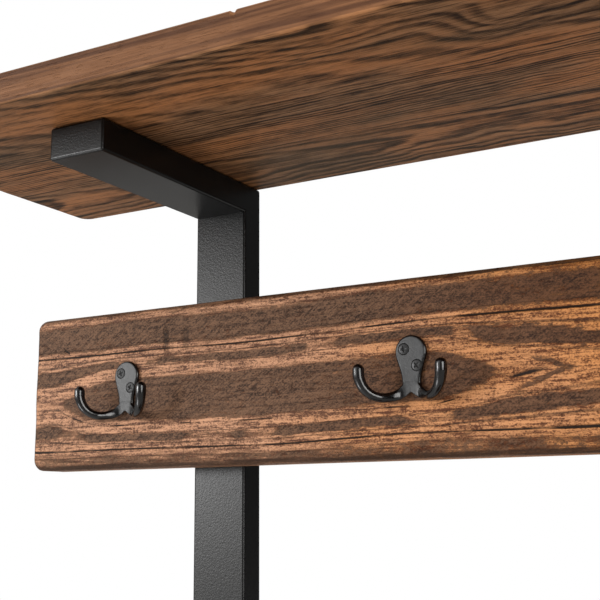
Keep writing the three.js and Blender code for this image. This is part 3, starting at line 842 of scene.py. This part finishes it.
def bezier(a, b, c, d, count):
    t = np.linspace(0, 1, count, endpoint=False)[:, None]
    a, b, c, d = (np.array(p, float) for p in (a, b, c, d))
    return list(a * (1 - t) ** 3 + 3 * b * t * (1 - t) ** 2 + 3 * c * t**2 * (1 - t) + d * t**3)


def plate_outline():
    """The plate's outline in X and Z, in mm from the middle of the board: round head, neck and notch."""
    head, head_z, waist, waist_z = 12.3, 10.3, 7.3, -11.5
    foot, foot_z, notch_z = 8.9, -17.0, -19.0
    leave = -0.25
    start = (head * math.cos(leave), head_z + head * math.sin(leave))
    fall = (start[1] - waist_z) / 3
    bend = (start[0] + fall * math.tan(leave), start[1] - fall)
    turn_z = (foot_z + waist_z) / 2
    arc = [
        (head * math.cos(a), head_z + head * math.sin(a))
        for a in np.linspace(leave, math.pi - leave, 40, endpoint=False)
    ]
    left = bezier((-start[0], start[1]), (-bend[0], bend[1]), (-waist, waist_z + fall), (-waist, waist_z), 14)
    left += bezier((-waist, waist_z), (-waist, turn_z), (-waist, turn_z), (-foot, foot_z), 6)
    left.append((-foot, foot_z))
    right = [(-x, z) for x, z in left[::-1]]
    return [*arc, *left, (0.0, notch_z), *right[:-1]]


def plate_shell(outline):
    """The plate as stacked copies of its outline, drawn in at the front for a rounded rim. In mm."""
    p = np.array(outline)
    along = np.roll(p, -1, 0) - np.roll(p, 1, 0)
    inward = np.stack([-along[:, 1], along[:, 0]], 1)
    inward /= np.linalg.norm(inward, axis=1, keepdims=True)
    count = len(p)
    levels = [(0.0, 0.0), (-1.5, 0.0), (-2.2, 0.25), (-2.7, 0.7), (-PLATE / MM, 1.4)]
    points = [(x, y, z) for y, inset in levels for x, z in p + inward * inset]
    faces = [tuple(range(count))[::-1], tuple(range((len(levels) - 1) * count, len(levels) * count))]
    for level in range(len(levels) - 1):
        for i in range(count):
            a, b = level * count + i, level * count + (i + 1) % count
            faces.append((a, b, b + count, a + count))
    return points, faces


def prong_lines():
    """The centre lines of the two prongs, in mm, and the radius along them."""
    spread, reach, rod, tip = 32.0, 23.3, 3.8, 4.4
    path = [
        (0.08, -16.0), (0.24, -20.0), (0.42, -22.5), (0.60, -23.2),
        (0.78, -21.0), (0.92, -15.9), (0.99, -9.1), (1.0, -3.0),
    ]
    for side in (-1, 1):
        bend = [(side * s * spread, -(rod + s**1.5 * (reach - rod)), z) for s, z in path]
        line = catmull(bend, 8)
        share = np.linspace(0, 1, len(line))
        root = 0.7 * np.clip(1 - share / 0.3, 0, 1)
        neck = 0.3 * np.sin(np.clip(share * 1.3, 0, 1) * math.pi) ** 2
        yield line, rod + root - neck + (tip - rod) * np.clip((share - 0.62) / 0.3, 0, 1)


def flattened_root(p):
    """Draws a prong's point back to the plate's face near the plate, where the casting is nearly flush."""
    left_proud = 0.05
    leaving = smooth_inside(abs(p[0]) - 11 * MM, 15 * MM)
    beyond = min(p[1] + PLATE, 0.0)
    return (p[0], p[1] - beyond * (1 - left_proud - (1 - left_proud) * leaving), p[2])


def fused(obj):
    """Makes overlapping solids one smooth skin, and keeps it in front of the board."""
    bm = bmesh.new()
    bm.from_mesh(obj.data)
    bmesh.ops.recalc_face_normals(bm, faces=bm.faces)
    bm.to_mesh(obj.data)
    bm.free()
    remesh = obj.modifiers.new("remesh", "REMESH")
    remesh.mode = "VOXEL"
    remesh.voxel_size = 0.45 * MM
    soft = obj.modifiers.new("soft", "SMOOTH")
    soft.factor, soft.iterations = 0.5, 7
    apply_modifiers(obj)
    co = np.zeros(len(obj.data.vertices) * 3)
    obj.data.vertices.foreach_get("co", co)
    co = co.reshape(-1, 3)
    co[:, 1] = np.minimum(co[:, 1], 0.0)
    obj.data.vertices.foreach_set("co", co.ravel())


def countersunk(obj, places, material):
    """Cuts a countersink for a screw at each (x, z) place, in mm, into the plate's face."""
    rim, drill = 4.3 * MM, 2.2 * MM
    tail = [(rim, -0.3 * MM), (drill, -2.5 * MM), (drill, -4 * MM)]
    cone, faces = turned_head(rim, 48, 2, lambda x, y: 2 * MM, tail)
    cutters = []
    for x, z in places:
        where = Vector((x * MM, -PLATE, z * MM))
        turned = [AIMS["forward"] @ Vector(p) + where for p in cone]
        cutters.append(make_object("countersink", turned, faces, material))
        cut = obj.modifiers.new("cut", "BOOLEAN")
        cut.operation, cut.solver, cut.object = "DIFFERENCE", "EXACT", cutters[-1]
    apply_modifiers(obj)
    for cutter in cutters:
        bpy.data.objects.remove(cutter)


def hook_mesh(material):
    """One double hook at the origin: plate back at y = 0, middle of the board at z = 0."""
    points, faces = plate_shell(plate_outline())
    points = [tuple(v * MM for v in p) for p in points]
    for line, radii in prong_lines():
        rod_points, rod_faces = swept_rod(line * MM, radii * MM)
        base = len(points)
        points += [flattened_root(p) for p in rod_points]
        faces += [tuple(base + i for i in f) for f in rod_faces]
    obj = make_object("hook_blank", points, faces, material)
    fused(obj)
    countersunk(obj, ((-5.0, 12.4), (5.0, 0.0)), material)
    mesh = dressed(obj.data, material)
    bpy.data.objects.remove(obj)
    return mesh


def build_hooks(screw):
    mesh = hook_mesh(hook_iron())
    board_low, board_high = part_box("hook_board")
    turns = (20, 65, 8, 40, 30, 75, 52, 12)
    screw_mesh = hook_screw_mesh()
    for h in HOOKS:
        low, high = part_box(f"double_hook_{h}")
        obj = add_object(f"cast_hook_{h}", mesh)
        obj.location = ((low.x + high.x) / 2, high.y, (board_low.z + board_high.z) / 2)
        stands_for(obj, "black_hook_iron", f"double_hook_{h}")
        for i, end in enumerate(("upper", "lower")):
            node = f"hook_screw_{h}_{end}"
            fastener(node, screw_mesh, "forward", turns[2 * h - 2 + i], screw, "black_hook_iron")


# ---- Steel frame, feet and fasteners ----
def build_frames(coat):
    for side in SIDES:
        names = ("post", "shelf_arm", "arm_cap", "seat_rail", "lower_rail", "front_leg")
        box = {name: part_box(f"{side}_{name}") for name in names}
        low, high = box["post"]
        front = box["arm_cap"][0].y
        leg, arm, rail = box["front_leg"], box["shelf_arm"], box["seat_rail"]
        cells = [
            (low.y, high.y, low.z, arm[1].z),
            (front, high.y, arm[0].z, arm[1].z),
            (leg[0].y, high.y, rail[0].z, rail[1].z),
            (leg[0].y, leg[1].y, leg[0].z, rail[1].z),
            (leg[0].y, high.y, box["lower_rail"][0].z, box["lower_rail"][1].z),
        ]
        shell = rounded_shell(f"{side}_side_frame", bar_profile(cells, low.x, high.x), TUBE_EDGE, coat)
        stands_for(shell, "black_powder_coat", *(f"{side}_{name}" for name in names))
    low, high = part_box("rear_stretcher")
    bar = bar_profile([(low.y, high.y, low.z, high.z)], low.x, high.x)
    stands_for(rounded_shell("stretcher_tube", bar, TUBE_EDGE, coat), "black_powder_coat", "rear_stretcher")


def build_bolts(black, bright):
    for side in SIDES:
        for i in (1, 2):
            for name, aim in (("board_bolt", "back"), ("seat_bolt", "down"), ("shoe_shelf_bolt", "down")):
                node = f"{name}_{side}_{i}"
                low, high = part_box(node)
                mesh = button_bolt_mesh(max(high - low) - BUTTON_RISE)
                fastener(node, mesh, aim, 17 * i, black, "black_powder_coat")
            node = f"shelf_bolt_{side}_{i}"
            low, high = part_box(node)
            fastener(node, countersunk_bolt_mesh(high.z - low.z), "up", 25 * i, bright, "zinc_plated_steel")
        node = f"stretcher_bolt_{side}"
        low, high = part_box(node)
        mesh = button_bolt_mesh(high.x - low.x - BUTTON_RISE)
        fastener(node, mesh, side, 11, black, "black_powder_coat")


def threaded_stem(radius, low, high, pitch, depth, sides):
    """The rings of points of a stem with a helical thread, from low to high."""
    steps = int((high - low) / (pitch / 6))
    rings = []
    for s in range(steps + 1):
        z = low + (high - low) * s / steps
        ring = []
        for i in range(sides):
            turn = (z / pitch - i / sides) % 1.0
            r = radius - depth * abs(2 * turn - 1)
            a = 2 * math.pi * i / sides
            ring.append((r * math.cos(a), r * math.sin(a), z))
        rings.append(ring)
    return rings


def foot_mesh():
    """A levelling foot at the origin: a turned pad with a hexagon on top, and a threaded stem."""
    sides = 48
    profile = [(10.6, 0.0), (11.5, 0.25), (12.0, 0.9), (12.0, 4.2), (11.6, 4.9), (10.9, 5.2), (8.6, 5.4)]
    rings = [circle(r * MM, z * MM, sides) for r, z in profile]
    for z, ease in ((5.6, 0.0), (7.5, 0.0), (7.8, 0.5)):
        ring = []
        for i in range(sides):
            a = 2 * math.pi * i / sides
            flat = 7.2 / math.cos((a + math.pi / 6) % (math.pi / 3) - math.pi / 6)
            r = (min(flat, 8.1) - ease) * MM
            ring.append((r * math.cos(a), r * math.sin(a), z * MM))
        rings.append(ring)
    rings += threaded_stem(3.9 * MM, 7.8 * MM, 39.2 * MM, 1.25 * MM, 0.6 * MM, sides)
    points = [p for ring in rings for p in ring]
    faces = tube_faces(len(rings), sides)
    last = len(points) - sides
    points.append((0.0, 0.0, 39.9 * MM))
    faces += [(last + i, last + (i + 1) % sides, len(points) - 1) for i in range(sides)]
    return points, faces


def build_feet(plastic):
    points, faces = foot_mesh()
    for end in ("front", "rear"):
        for side in SIDES:
            node = f"{end}_{side}_levelling_foot"
            low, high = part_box(node)
            origin = Vector(((low.x + high.x) / 2, (low.y + high.y) / 2, low.z))
            placed = [Vector(p) + origin for p in points]
            foot = make_object(f"{end}_{side}_turned_foot", placed, faces, plastic)
            stands_for(foot, "black_plastic", node, body=f"{end}_{side}_foot")
            dress_node(f"{end}_{side}_tube_plug", plastic)


def build_boards():
    hook = rustic_board("rustic_hook_board", "hook_board", 1, hook_board_rings)
    seat = rustic_board("rustic_seat", "bench_seat", 2, seat_rings)
    hat = walnut_board("walnut_hat_shelf", "hat_shelf")
    shoe = walnut_board("walnut_shoe_shelf", "shoe_shelf")
    # Each row ends with the eased edge and the mesh's step, both in mm, the wear, the seed and the nick.
    rows = (
        ("hook_rail_board", "hook_board", 1, hook, "rustic_board", 5, 4, 0.9, 3.0, None),
        ("seat_board", "bench_seat", 2, seat, "rustic_board", 4.5, 7, 0.6, 11.0, None),
        ("hat_shelf_board", "hat_shelf", 2, hat, "walnut_shelf", 2.2, 6, 0.3, 21.0, -0.153),
        ("shoe_shelf_board", "shoe_shelf", 2, shoe, "walnut_shelf", 2.2, 6, 0.3, 31.0, None),
    )
    for name, node, thick_axis, material, slot, edge, step, wear, seed, nick in rows:
        board(name, node, thick_axis, material, slot, edge * MM, step * MM, wear, seed, nick)


def dress_hidden(bright):
    for side in SIDES:
        dress_node(f"{side}_nut_strip", bright)
        dress_node(f"stretcher_end_plate_{side}", bright)


# ---- Stage, light and camera ----
def build_stage():
    g = Graph("studio_floor")
    x, y, z = g.position()
    mottle = g.noise(x * 3, y * 3, z, detail=4.0)
    paper = g.finish(g.mix(mottle, rgb("e6e5e3"), rgb("efeeec")), mottle * 0.1 + 0.6)
    reach, corners = 9.0, 96
    floor = make_object("floor", circle(reach, 0.0, corners), [tuple(range(corners))], paper)


def glow(tree, direction, aim, start, end, strength):
    """Light from round one direction: none beyond start, full within end, as cosines of the angle."""
    dot = tree.nodes.new("ShaderNodeVectorMath")
    dot.operation = "DOT_PRODUCT"
    dot.inputs[1].default_value = Vector(aim).normalized()
    tree.links.new(direction, dot.inputs[0])
    fall = tree.nodes.new("ShaderNodeMapRange")
    fall.interpolation_type = "SMOOTHSTEP"
    for name, value in (("From Min", start), ("From Max", end), ("To Min", 0.0), ("To Max", strength)):
        fall.inputs[name].default_value = value
    tree.links.new(dot.outputs["Value"], fall.inputs["Value"])
    return fall.outputs["Result"]


def joined(tree, operation, first, second):
    node = tree.nodes.new("ShaderNodeMath")
    node.operation = operation
    tree.links.new(first, node.inputs[0])
    tree.links.new(second, node.inputs[1])
    return node.outputs[0]


def build_world():
    """Soft studio light: a panel and a fill front left, a dim ceiling, a thin strip front right and a faint
    glow behind. The camera itself sees plain white."""
    world = bpy.data.worlds.new("studio")
    world.use_nodes = True
    bpy.context.scene.world = world
    tree = world.node_tree
    tree.nodes.clear()
    direction = tree.nodes.new("ShaderNodeTexCoord").outputs["Generated"]
    panel = glow(tree, direction, (-0.66, -0.75, 0.10), 0.70, 0.96, 1.8)
    over_floor = glow(tree, direction, (0.0, 0.0, 1.0), -0.30, -0.02, 1.0)
    fill = glow(tree, direction, (-0.5, -0.8, 0.1), -0.2, 1.0, 0.28)
    ceiling = glow(tree, direction, (-0.10, -0.20, 1.0), 0.0, 1.0, 0.6)
    strip = glow(tree, direction, (0.82, -0.54, 0.16), 0.955, 0.975, 9.0)
    behind = glow(tree, direction, (0.45, 0.86, 0.25), 0.2, 1.0, 0.12)
    total = joined(tree, "MULTIPLY", panel, over_floor)
    for extra in (fill, ceiling, strip, behind):
        total = joined(tree, "ADD", total, extra)
    light = tree.nodes.new("ShaderNodeBackground")
    light.inputs["Color"].default_value = (1.0, 0.985, 0.965, 1.0)
    tree.links.new(total, light.inputs["Strength"])
    seen = tree.nodes.new("ShaderNodeBackground")
    seen.inputs["Color"].default_value = (1.0, 1.0, 1.0, 1.0)
    seen.inputs["Strength"].default_value = 1.0
    path = tree.nodes.new("ShaderNodeLightPath")
    mix = tree.nodes.new("ShaderNodeMixShader")
    tree.links.new(path.outputs["Is Camera Ray"], mix.inputs[0])
    tree.links.new(light.outputs[0], mix.inputs[1])
    tree.links.new(seen.outputs[0], mix.inputs[2])
    output = tree.nodes.new("ShaderNodeOutputWorld")
    tree.links.new(mix.outputs[0], output.inputs["Surface"])


def softbox(name, place, target, size, power):
    light = bpy.data.lights.new(name, "AREA")
    light.shape = "SQUARE"
    light.size = size
    light.energy = power
    obj = add_object(name, light)
    obj.location = place
    obj.rotation_euler = (Vector(target) - Vector(place)).to_track_quat("-Z", "Y").to_euler()


def build_camera():
    """A camera near eye height, right of the middle, that looks up and left at the upper left corner."""
    post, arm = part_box("left_post"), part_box("left_shelf_arm")
    inner_corner = Vector((post[1].x, post[0].y, arm[0].z))
    data = bpy.data.cameras.new("camera")
    data.sensor_width = 36.0
    data.lens = 65.8
    data.clip_start, data.clip_end = 0.02, 60.0
    camera = add_object("camera", data)
    from_corner = Vector((0.4856, -0.7647, -0.2546))
    camera.location = inner_corner + from_corner
    left, up, roll = math.radians(29.48), math.radians(11.09), -0.0069
    level = Matrix.Rotation(left, 3, "Z") @ Matrix.Rotation(math.pi / 2 + up, 3, "X")
    camera.rotation_euler = (level @ Matrix.Rotation(roll, 3, "Z")).to_euler()
    bpy.context.scene.camera = camera


def main():
    build_camera()
    build_world()
    build_stage()
    softbox("key", (-1.9, -1.75, 1.85), (-0.15, 0.1, 1.62), 0.6, 28)
    softbox("low", (-1.5, -1.3, 0.45), (-0.1, 0.0, 1.8), 0.8, 15)
    black, bright, plastic = screw_black(), zinc(), moulded_plastic()
    build_boards()
    build_hooks(black)
    build_frames(powder_coat())
    build_bolts(black, bright)
    build_feet(plastic)
    dress_hidden(bright)
    bpy.context.scene.view_settings.view_transform = "Standard"


main()
bpy.context.view_layer.update()
